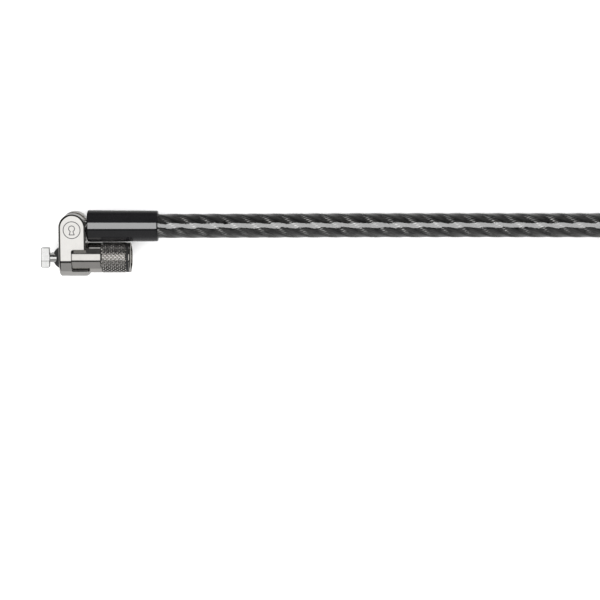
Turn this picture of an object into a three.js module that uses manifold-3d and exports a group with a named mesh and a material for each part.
// Laptop cable lock with a barrel head, a pivoting and swivelling cable end, and a looped steel cable.
// Millimetres. The head lies on its back: +X runs along the barrel to the key end, +Y from the barrel
// to the cable, +Z up out of the front plate. The origin is under the middle of the head.
import * as THREE from 'three';
import { mergeVertices } from 'three/addons/utils/BufferGeometryUtils.js';
import Module from 'manifold-3d';

const wasm = await Module();
wasm.setup();

// Head casting
const halfDepth = 6.1; // half the thickness of the head, and the radius of its rounded underside
const plateWidth = 8.88; // left face to right edge of the front plate
const plateEdge = 0.6; // chamfer round both plates
const axisSpacing = 10.4; // barrel axis to cable axis
const lobeRadius = plateWidth / 2;
const wallThickness = 1.65; // left wall, between the laptop and the barrel
const boreRadius = 5.25; // pocket that holds the barrel
const windowLeft = 4.2; // cut-out that shows the barrel
const windowTop = 3.1;
const ledgeTop = -3.6; // cradle under the barrel
const ledgeReach = 10;
const slotHalf = 2.3; // half the gap between the two plates of the clevis
const noseSlotHalfWidth = 1.6; // slot for the spindle and the fork, across
const noseSlotHalfLength = 3.5; // and along
const seatRadius = 4.1; // recess that seats the bumper
const seatDepth = 0.5;

// T-bar, fork and bumper
const tBarLeft = -6.4;
const tBarThickness = 2.9;
const tBarLength = 6.6;
const tBarWidth = 2.6;
const spindleRadius = 1.25;
const prongTip = -3.3;
const prongInner = 1.5;
const prongOuter = 3.3;
const prongHalfWidth = 1.42;
const domeRadius = 3.95;
const domeCentre = 1.43;
const domeNose = -2.2;

// Barrel
const barrelStart = 2.65;
const barrelRadius = 4.95;
const knurlStart = 13.75;
const knurlEnd = 21.85;
const knurlRadius = 5;
const barrelBore = 3.95;
const collarBore = 4.55; // counterbore for the bezel's collar
const collarDepth = 1;
const sealStart = 21.9;
const sealEnd = 22.6;
const barrelEnd = 23.36;
const bezelOpening = 3.9;

// Tubular lock mechanism
const retainerX = 6.2; // cross pin that holds the barrel in the casting
const retainerRadius = 0.8;
const blockStart = 3.4;
const shearPlane = 10.6;
const shearGap = 0.05; // to each side of the shear plane
const plugRadius = 3.75;
const plugFace = 18.4;
const postRadius = 2.1;
const postEnd = 22.9;
const chamberCount = 8;
const chamberCircle = 2.95;
const chamberRadius = 0.58;
const pinRadius = 0.46;
const chamberFloor = 4.4;
const driverLength = 3;
const keyPinLongest = 7.6;
const keyPinSteps = [0, 3, 1, 4, 2, 5, 1, 3]; // how much shorter each key pin is, in cut depths
const cutDepth = 0.2;
const springRadius = 0.38;
const springWire = 0.09;
const springTurns = 4;

// Cable end
const pivotX = plateWidth / 2;
const pivotRadius = 1.5;
const eyeRadius = 3.3;
const eyeHalfThickness = 2.1;
const studRadius = 1.6;
const studShoulder = 12.6;
const tenonRadius = 1.1;
const tenonEnd = 14.1;
const sleeveStart = 9.07;
const sleeveEnd = 32.2;
const sleeveLeftRadius = 5.2;
const sleeveRightRadius = 5.05;
const sleeveBore = 4.5;
const ferruleStart = 10.95;
const ferruleEnd = 24;

// Cable
const cableRadius = 4;
const cableStart = 24.6;
const tableZ = -halfDepth;
const coilMiddle = 38.5; // bend radius of the middle turn
const coilStretch = 13; // half the length of the coil's straight sides
const coilCentreX = 238.5;
const coilLift = 1; // the tie passes under the coil
const loopTip = 20; // bend radius at the end of the eye
const loopFlare = 22; // bend radius where its legs part
const flareAngle = THREE.MathUtils.degToRad(35);
const legSpacing = 8.8;
const crimpLength = 18;
const crimpWall = 1.4;
const tieWidth = 14;
const tieThickness = 0.7;
const gap = 0.3;

const coilOuter = coilMiddle + 2 * cableRadius;
const coilInner = coilMiddle - 2 * cableRadius;
const coilCentreY = axisSpacing - coilMiddle - cableRadius;
const coilBottom = tableZ + coilLift;
const topTurnZ = coilBottom + cableRadius * (3 + Math.sqrt(3)); // nested in the groove of the upper pair
const loopZ = topTurnZ + 2 * cableRadius + 0.5;

const coarse = 16;
const medium = 24;
const fine = 48;

// ---- solids ----

function toSolid(geometry) {
  const bare = geometry.clone();
  bare.deleteAttribute('normal');
  bare.deleteAttribute('uv');
  const welded = mergeVertices(bare, 1e-5);
  const corners = welded.getAttribute('position').array;
  const triangles = [];
  let volume = 0;
  const [a, b, c] = [new THREE.Vector3(), new THREE.Vector3(), new THREE.Vector3()];
  for (let i = 0; i < welded.index.count; i += 3) {
    const [p, q, r] = [0, 1, 2].map((k) => welded.index.getX(i + k));
    if (p === q || q === r || r === p) continue;
    triangles.push([p, q, r]);
    a.fromArray(corners, 3 * p);
    b.fromArray(corners, 3 * q);
    c.fromArray(corners, 3 * r);
    volume += a.dot(b.cross(c));
  }
  const facing = volume < 0 ? triangles.map(([p, q, r]) => [p, r, q]) : triangles;
  return new wasm.Manifold(
    new wasm.Mesh({
      numProp: 3,
      vertProperties: Float32Array.from(corners),
      triVerts: Uint32Array.from(facing.flat()),
    }),
  );
}

function toGeometry(solid) {
  const mesh = solid.getMesh();
  const geometry = new THREE.BufferGeometry();
  geometry.setAttribute('position', new THREE.BufferAttribute(Float32Array.from(mesh.vertProperties), 3));
  geometry.setIndex(new THREE.BufferAttribute(Uint32Array.from(mesh.triVerts), 1));
  geometry.computeVertexNormals();
  return geometry;
}

// A solid of revolution about the X axis from [x, radius] pairs.
function turned(profile, segments = medium) {
  const points = profile.map(([x, radius]) => new THREE.Vector2(radius, x));
  return toSolid(new THREE.LatheGeometry(points, segments).rotateZ(-Math.PI / 2));
}

// A ring about the X axis with a square section.
function ring(x0, x1, inner, outer, segments = medium) {
  const corners = [[x0, inner], [x0, outer], [x1, outer], [x1, inner], [x0, inner]];
  return turned(corners, segments);
}

// A rod along X with its ends on the axis.
function rod(x0, x1, radius, segments = medium) {
  return turned([[x0, 0], [x0, radius], [x1, radius], [x1, 0]], segments);
}

function box(x0, x1, y0, y1, z0, z1) {
  const geometry = new THREE.BoxGeometry(x1 - x0, y1 - y0, z1 - z0);
  geometry.translate((x0 + x1) / 2, (y0 + y1) / 2, (z0 + z1) / 2);
  return toSolid(geometry);
}

// A cylinder along Z.
function post(x, y, z0, z1, radius, segments = medium) {
  const geometry = new THREE.CylinderGeometry(radius, radius, z1 - z0, segments);
  geometry.rotateX(Math.PI / 2).translate(x, y, (z0 + z1) / 2);
  return toSolid(geometry);
}

// A bar along X with a slot-shaped section: straight sides across Y and round ends along Z.
function slotBar(x0, x1, halfWidth, halfLength) {
  const offset = halfLength - halfWidth;
  const section = new THREE.Shape();
  section.absarc(offset, 0, halfWidth, -Math.PI / 2, Math.PI / 2, false);
  section.absarc(-offset, 0, halfWidth, Math.PI / 2, 1.5 * Math.PI, false);
  const geometry = new THREE.ExtrudeGeometry(section, { depth: x1 - x0, bevelEnabled: false, curveSegments: 12 });
  return toSolid(geometry.rotateY(Math.PI / 2).translate(x0, 0, 0));
}

// A tube of round section along a list of points.
function tube(points, radius, steps, sides) {
  const section = new THREE.Shape();
  for (let i = 0; i < sides; i += 1) {
    const angle = (2 * Math.PI * i) / sides;
    const corner = [radius * Math.cos(angle), radius * Math.sin(angle)];
    if (i === 0) section.moveTo(...corner);
    else section.lineTo(...corner);
  }
  section.closePath();
  const path = new THREE.CatmullRomCurve3(points, false, 'centripetal');
  return toSolid(new THREE.ExtrudeGeometry(section, { steps, bevelEnabled: false, extrudePath: path }));
}

// ---- head casting ----

function castingOutline() {
  const outline = new THREE.Shape();
  const corner = 1.1;
  outline.moveTo(corner, -halfDepth);
  outline.lineTo(ledgeReach - 0.8, -halfDepth);
  outline.lineTo(ledgeReach, ledgeTop - 1.2);
  outline.lineTo(plateWidth, ledgeTop - 0.4);
  outline.lineTo(plateWidth, axisSpacing);
  outline.absarc(pivotX, axisSpacing, lobeRadius, 0, Math.PI, false);
  outline.lineTo(0, corner - halfDepth);
  outline.absarc(corner, corner - halfDepth, corner, Math.PI, 1.5 * Math.PI, false);
  return outline;
}

function headHousing() {
  const slab = new THREE.ExtrudeGeometry(castingOutline(), {
    depth: 2 * (halfDepth - plateEdge),
    bevelThickness: plateEdge,
    bevelSize: plateEdge,
    bevelOffset: -plateEdge,
    bevelSegments: 2,
    curveSegments: 16,
  });
  slab.translate(0, 0, plateEdge - halfDepth);
  const reach = 20;
  const envelope = rod(-1, reach, halfDepth, fine).add(box(-1, reach, 0, reach, -halfDepth, halfDepth));
  const slot = post(pivotX, axisSpacing, -slotHalf, slotHalf, eyeRadius + 0.25)
    .add(box(pivotX, reach, axisSpacing - eyeRadius - 0.25, reach, -slotHalf, slotHalf))
    .add(box(pivotX - 2.2, reach, axisSpacing, reach, -slotHalf, slotHalf));
  return toSolid(slab)
    .intersect(envelope)
    .subtract(rod(wallThickness, reach, boreRadius, fine))
    .subtract(box(windowLeft, reach, ledgeTop, windowTop, 0, 2 * halfDepth))
    .subtract(slot)
    .subtract(post(pivotX, axisSpacing, -halfDepth - 1, 4.8, pivotRadius + 0.1))
    .subtract(post(retainerX, 0, -halfDepth - 1, 0, retainerRadius + 0.1, coarse))
    .subtract(rod(-1, seatDepth, seatRadius, 32))
    .subtract(slotBar(-1, 2 * wallThickness, noseSlotHalfWidth, noseSlotHalfLength));
}

function retainingPin() {
  return post(retainerX, 0, -halfDepth + 0.1, -plugRadius + 0.6, retainerRadius, coarse);
}

// ---- laptop side ----

function rubberBumper() {
  const profile = [];
  const noseAngle = Math.acos((domeCentre - domeNose) / domeRadius);
  const baseAngle = Math.acos((domeCentre + 0.02) / domeRadius);
  const steps = 7;
  for (let i = 0; i <= steps; i += 1) {
    const angle = THREE.MathUtils.lerp(noseAngle, baseAngle, i / steps);
    profile.push([domeCentre - domeRadius * Math.cos(angle), domeRadius * Math.sin(angle)]);
  }
  const flange = seatRadius - 0.1;
  const dome = turned([[domeNose, 0], ...profile, [0, flange], [seatDepth - 0.1, flange], [seatDepth - 0.1, 0]], 32);
  return dome.subtract(slotBar(-9, 9, noseSlotHalfWidth, noseSlotHalfLength));
}

function antiRotationFork() {
  const disc = ring(wallThickness + 0.1, barrelStart - 0.1, spindleRadius + 0.15, boreRadius - 0.15);
  const prongs = slotBar(prongTip, barrelStart - 0.2, prongHalfWidth, prongOuter);
  return disc.add(prongs.subtract(box(-9, 9, -9, 9, -prongInner, prongInner)));
}

function tBarSpindle() {
  const end = tBarLeft + tBarThickness;
  const head = new THREE.Shape();
  const [half, chamfer] = [tBarLength / 2, 0.5];
  head.moveTo(tBarLeft + chamfer, -half);
  head.lineTo(end, -half);
  head.lineTo(end, half);
  head.lineTo(tBarLeft + chamfer, half);
  head.lineTo(tBarLeft, half - chamfer);
  head.lineTo(tBarLeft, chamfer - half);
  const slab = new THREE.ExtrudeGeometry(head, { depth: tBarWidth, bevelEnabled: false });
  slab.translate(0, 0, -tBarWidth / 2);
  return toSolid(slab).add(rod(end - 0.5, shearPlane + 2, spindleRadius));
}

// ---- barrel ----

function barrelShell() {
  const shell = turned(
    [
      [barrelStart, barrelBore], [barrelStart, barrelRadius], [knurlStart, barrelRadius],
      [knurlStart, knurlRadius], [knurlEnd, knurlRadius], [knurlEnd, collarBore],
      [knurlEnd - collarDepth, collarBore], [knurlEnd - collarDepth, barrelBore], [barrelStart, barrelBore],
    ],
    36,
  );
  return shell.subtract(post(retainerX, 0, -9, 0, retainerRadius + 0.1, coarse));
}

function sealRing() {
  return ring(sealStart, sealEnd, collarBore, knurlRadius - 0.15, 32);
}

function keywayBezel() {
  const collar = collarBore - 0.15;
  const round = 0.6;
  const rim = turned(
    [
      [knurlEnd - collarDepth + 0.1, bezelOpening], [knurlEnd - collarDepth + 0.1, collar],
      [sealEnd + 0.05, collar], [sealEnd + 0.05, knurlRadius], [barrelEnd - round, knurlRadius],
      [barrelEnd - 0.25 * round, knurlRadius - 0.4 * round], [barrelEnd, knurlRadius - round],
      [barrelEnd, bezelOpening], [knurlEnd - collarDepth + 0.1, bezelOpening],
    ],
    32,
  );
  const notch = box(sealEnd + 0.3, barrelEnd + 1, 3.5, 4.4, -0.6, 0.6);
  return rim.subtract(notch);
}

// ---- mechanism ----

function chamberAngle(index) {
  return (2 * Math.PI * (index + 0.5)) / chamberCount;
}

function inChamber(solid, index) {
  const angle = chamberAngle(index);
  return solid.translate([0, chamberCircle * Math.cos(angle), chamberCircle * Math.sin(angle)]);
}

function withChambers(solid, x0, x1) {
  let drilled = solid;
  for (let i = 0; i < chamberCount; i += 1) {
    drilled = drilled.subtract(inChamber(rod(x0, x1, chamberRadius, 12), i));
  }
  return drilled;
}

function driverBlock() {
  const block = ring(blockStart, shearPlane - shearGap, spindleRadius + 0.15, plugRadius, 32);
  const retainerHole = post(retainerX, 0, -9, -plugRadius + 0.8, retainerRadius + 0.1, coarse);
  return withChambers(block, chamberFloor, shearPlane + 1).subtract(retainerHole);
}

function lockPlug() {
  const plug = turned(
    [
      [shearPlane + shearGap, 0], [shearPlane + shearGap, plugRadius], [plugFace, plugRadius],
      [plugFace, postRadius], [postEnd - 0.3, postRadius], [postEnd, postRadius - 0.3], [postEnd, 0],
    ],
    32,
  );
  const socket = rod(shearPlane - 1, shearPlane + 2.2, spindleRadius + 0.1);
  return withChambers(plug.subtract(socket), shearPlane - 1, plugFace + 1);
}

// A brass pin with rounded ends.
function tumbler(x0, x1) {
  const round = 0.2;
  const profile = [
    [x0, 0], [x0, pinRadius - round], [x0 + round, pinRadius],
    [x1 - round, pinRadius], [x1, pinRadius - round], [x1, 0],
  ];
  return turned(profile, 12);
}

function keyPin(index) {
  const back = shearPlane + 0.03;
  return inChamber(tumbler(back, back + keyPinLongest - cutDepth * keyPinSteps[index]), index);
}

function driverPin(index) {
  const front = shearPlane - 0.03;
  return inChamber(tumbler(front - driverLength, front), index);
}

function pinSpring(index) {
  const start = chamberFloor + 0.15;
  const end = shearPlane - driverLength - 0.2;
  const stepsPerTurn = 7;
  const points = [];
  for (let i = 0; i <= springTurns * stepsPerTurn; i += 1) {
    const angle = (2 * Math.PI * i) / stepsPerTurn;
    const x = THREE.MathUtils.lerp(start, end, i / (springTurns * stepsPerTurn));
    points.push(new THREE.Vector3(x, springRadius * Math.cos(angle), springRadius * Math.sin(angle)));
  }
  return inChamber(tube(points, springWire, springTurns * stepsPerTurn, 3), index);
}

// ---- cable end ----

function onCableAxis(solid) {
  return solid.translate([0, axisSpacing, 0]);
}

function pivotPin() {
  return post(pivotX, axisSpacing, -halfDepth + 0.1, 4.7, pivotRadius);
}

function swivelEye() {
  const eye = post(pivotX, axisSpacing, -eyeHalfThickness, eyeHalfThickness, eyeRadius);
  const stud = turned([
    [pivotX + 1, 0], [pivotX + 1, studRadius], [studShoulder, studRadius],
    [studShoulder, tenonRadius], [tenonEnd, tenonRadius], [tenonEnd, 0],
  ]);
  return eye
    .add(onCableAxis(stud))
    .subtract(post(pivotX, axisSpacing, -halfDepth, halfDepth, pivotRadius + 0.1));
}

function rivetCollar() {
  return onCableAxis(ring(studShoulder + 0.1, tenonEnd - 0.2, tenonRadius + 0.05, 2.7));
}

function thrustWasher() {
  return onCableAxis(ring(studShoulder - 0.25, studShoulder, studRadius + 0.1, 2.8));
}

function cableFerrule() {
  const wall = studShoulder - 0.3;
  return onCableAxis(
    turned([
      [ferruleStart, studRadius + 0.1], [ferruleStart, 3.9], [ferruleStart + 0.5, 4.4],
      [ferruleEnd, 4.4], [ferruleEnd, 3], [wall, 3], [wall, studRadius + 0.1],
      [ferruleStart, studRadius + 0.1],
    ]),
  );
}

function cableCoreEnd() {
  return onCableAxis(rod(tenonEnd + 0.5, cableStart - 0.1, 2.8));
}

function cableSleeve() {
  const mouth = sleeveEnd - sleeveStart;
  const round = 0.45;
  return onCableAxis(
    turned(
      [
        [0, studRadius + 0.2], [0, sleeveLeftRadius - round], [0.15, sleeveLeftRadius - 0.15],
        [round, sleeveLeftRadius], [mouth - round, sleeveRightRadius],
        [mouth - 0.15, sleeveRightRadius - 0.15], [mouth, sleeveRightRadius - round],
        [mouth, sleeveBore - 0.2], [mouth - 0.3, sleeveBore], [1.6, sleeveBore],
        [1.6, studRadius + 0.2], [0, studRadius + 0.2],
      ].map(([x, radius]) => [sleeveStart + x, radius]),
      48,
    ),
  );
}

// ---- cable ----

// Straight out of the sleeve, down onto the table, and up onto the coil's tie at the far end.
const runHeights = [
  [cableStart, 0], [32, 0], [44, -0.05], [56, -0.35], [70, -0.9], [84, -1.45], [98, -1.85], [112, -2.05],
  [126, -2.1], [142, -2.1], [158, -2.1], [170, -2.1], [182, -1.95], [192, -1.65], [198.9, -1.4],
];

function cableRun() {
  const points = runHeights.map(([x, z]) => new THREE.Vector3(x, axisSpacing, z));
  return tube(points, cableRadius, 18, 12);
}

function cableCoil() {
  const groove = topTurnZ - cableRadius - 0.5;
  const top = coilBottom + 4 * cableRadius;
  const soft = 1.2;
  const corners = [
    [coilInner, coilBottom + soft], [coilInner + soft, coilBottom], [coilOuter - soft, coilBottom],
    [coilOuter, coilBottom + soft], [coilOuter, top - soft], [coilOuter - soft, top], [coilMiddle + 5, top],
    [coilMiddle, groove], [coilMiddle - 5, top], [coilInner + soft, top], [coilInner, top - soft],
    [coilInner, coilBottom + soft],
  ];
  const points = corners.map(([radius, z]) => new THREE.Vector2(radius, z));
  const geometry = new THREE.LatheGeometry(points, 48, Math.PI / 48).rotateX(Math.PI / 2);
  const places = geometry.getAttribute('position');
  for (let i = 0; i < places.count; i += 1) {
    places.setX(i, places.getX(i) + coilStretch * Math.sign(places.getX(i)));
  }
  return toSolid(geometry.translate(coilCentreX, coilCentreY, 0));
}

// The end of the cable, as a walk in plan: the last turn on top of the coil, a tighter bend that climbs
// over it, the crimp, the eye and back into the crimp.
const topTurnStart = THREE.MathUtils.degToRad(65); // how far round the left end it begins
const topTurnEnd = THREE.MathUtils.degToRad(33); // and how far past the straight side it leaves
const climbRadius = 27;
const climbAngle = THREE.MathUtils.degToRad(147);

function walk(start, heading, z) {
  const points = [new THREE.Vector3(start.x, start.y, z)];
  const at = { x: start.x, y: start.y, z, heading };
  const go = (length, bend, rise = 0) => {
    const pieces = Math.max(2, Math.ceil(length / 6));
    const base = at.z;
    for (let i = 1; i <= pieces; i += 1) {
      const turn = (bend * length) / pieces;
      at.x += (length / pieces) * Math.cos(at.heading + turn / 2);
      at.y += (length / pieces) * Math.sin(at.heading + turn / 2);
      at.heading += turn;
      at.z = base + rise * THREE.MathUtils.smoothstep(i / pieces, 0, 1);
      points.push(new THREE.Vector3(at.x, at.y, at.z));
    }
  };
  return { points, at, go };
}

function endWalk() {
  const start = {
    x: coilCentreX - coilStretch - coilMiddle * Math.sin(topTurnStart),
    y: coilCentreY + coilMiddle * Math.cos(topTurnStart),
  };
  const route = walk(start, topTurnStart, topTurnZ);
  route.go(coilMiddle * topTurnStart, -1 / coilMiddle);
  route.go(2 * coilStretch, 0);
  route.go(coilMiddle * Math.PI, -1 / coilMiddle);
  route.go(2 * coilStretch, 0);
  route.go(coilMiddle * topTurnEnd, -1 / coilMiddle);
  route.go(climbRadius * climbAngle, -1 / climbRadius, loopZ - topTurnZ);
  const crimpStart = { ...route.at };
  const flareSide = (loopFlare * (1 - Math.cos(flareAngle))) + legSpacing / 2;
  const leg = (loopTip - flareSide * Math.cos(flareAngle)) / Math.sin(flareAngle);
  const straight = leg * Math.cos(flareAngle) - flareSide * Math.sin(flareAngle);
  route.go(crimpLength, 0);
  route.go(loopFlare * flareAngle, 1 / loopFlare);
  route.go(straight, 0);
  route.go(loopTip * (Math.PI + 2 * flareAngle), -1 / loopTip);
  route.go(straight, 0);
  route.go(loopFlare * flareAngle, 1 / loopFlare);
  route.go(crimpLength - 2, 0);
  return { points: route.points, crimpStart };
}

const end = endWalk();

function cableTail() {
  return tube(end.points, cableRadius - 0.05, 64, 8);
}

// The crimped sleeve round both legs of the eye.
function loopCrimp() {
  const half = legSpacing / 2;
  const stadium = (radius) => {
    const shape = new THREE.Shape();
    shape.absarc(half, 0, radius, -Math.PI / 2, Math.PI / 2, false);
    shape.absarc(-half, 0, radius, Math.PI / 2, 1.5 * Math.PI, false);
    return shape;
  };
  const slab = (radius, from, to) => {
    const geometry = new THREE.ExtrudeGeometry(stadium(radius), { depth: to - from, bevelEnabled: false });
    return toSolid(geometry.translate(0, 0, from));
  };
  const hole = cableRadius + gap;
  const { x, y, z, heading } = end.crimpStart;
  const degrees = THREE.MathUtils.radToDeg(heading);
  return slab(hole + crimpWall, 0, crimpLength - 0.5)
    .subtract(slab(hole, -1, crimpLength + 1))
    .rotate([90, 0, 0])
    .rotate([0, 0, 90])
    .translate([0, -half, 0])
    .rotate([0, 0, degrees])
    .translate([x, y, z]);
}

// A strap round the turns, at the right of the coil.
function coilTie() {
  const tieClear = 1.1; // the turns curve inwards across the width of the strap
  const outline = (out) => {
    const low = coilBottom - gap - out;
    const side = coilBottom + 4 * cableRadius - 1.5;
    const high = topTurnZ + cableRadius + gap + out;
    const corners = [
      [coilInner - tieClear - out, low], [coilOuter + gap + out, low], [coilOuter + gap + out, side + 0.4 * out],
      [coilMiddle + 3 + 0.4 * out, high], [coilMiddle - 4 - 0.4 * out, high],
      [coilInner - tieClear - out, side + 0.4 * out],
    ];
    return new THREE.Shape(corners.map(([radius, z]) => new THREE.Vector2(radius, z)));
  };
  const slab = (out, width) => {
    const geometry = new THREE.ExtrudeGeometry(outline(out), { depth: width, bevelEnabled: false });
    return toSolid(geometry.translate(0, 0, -width / 2));
  };
  return slab(tieThickness, tieWidth)
    .subtract(slab(0, 2 * tieWidth))
    .rotate([90, 0, 0])
    .rotate([0, 0, -20])
    .translate([coilCentreX + coilStretch, coilCentreY, 0]);
}

// ---- assembly ----

const finishes = {
  nickel: { color: 0xc9c8c4, roughness: 0.15, metalness: 1 },
  steel: { color: 0xd8d8d6, roughness: 0.25, metalness: 1 },
  brass: { color: 0xb58c3e, roughness: 0.3, metalness: 1 },
  crimp: { color: 0xa9abae, roughness: 0.4, metalness: 1 },
  rubber: { color: 0x2b2b2c, roughness: 0.8, metalness: 0 },
  glossBlack: { color: 0x0c0c0d, roughness: 0.15, metalness: 0 },
  jacket: { color: 0x4a4a4c, roughness: 0.2, metalness: 0 },
  strap: { color: 0x1b1b1c, roughness: 0.9, metalness: 0 },
};

const lock = new THREE.Group();
const sleeveTop = axisSpacing + sleeveLeftRadius;
lock.position.set(-(tBarLeft + sleeveEnd) / 2, -(sleeveTop - halfDepth) / 2, halfDepth);

function place(name, solid, finish) {
  const mesh = new THREE.Mesh(toGeometry(solid), new THREE.MeshStandardMaterial(finishes[finish]));
  mesh.name = name;
  lock.add(mesh);
}

place('head_housing', headHousing(), 'nickel');
place('barrel_retaining_pin', retainingPin(), 'steel');
place('rubber_bumper', rubberBumper(), 'rubber');
place('anti_rotation_fork', antiRotationFork(), 'steel');
place('t_bar_spindle', tBarSpindle(), 'steel');
place('barrel_shell', barrelShell(), 'nickel');
place('barrel_seal_ring', sealRing(), 'rubber');
place('keyway_bezel', keywayBezel(), 'nickel');
place('driver_block', driverBlock(), 'brass');
place('lock_plug', lockPlug(), 'nickel');
for (let i = 0; i < chamberCount; i += 1) {
  place(`key_pin_${i + 1}`, keyPin(i), 'brass');
  place(`driver_pin_${i + 1}`, driverPin(i), 'steel');
  place(`pin_spring_${i + 1}`, pinSpring(i), 'steel');
}
place('pivot_pin', pivotPin(), 'steel');
place('swivel_eye', swivelEye(), 'steel');
place('rivet_collar', rivetCollar(), 'steel');
place('thrust_washer', thrustWasher(), 'brass');
place('cable_ferrule', cableFerrule(), 'crimp');
place('cable_core_end', cableCoreEnd(), 'steel');
place('cable_sleeve', cableSleeve(), 'glossBlack');
place('cable_run', cableRun(), 'jacket');
place('cable_coil', cableCoil(), 'jacket');
place('cable_tail', cableTail(), 'jacket');
place('loop_crimp', loopCrimp(), 'crimp');
place('coil_tie', coilTie(), 'strap');

export default lock;
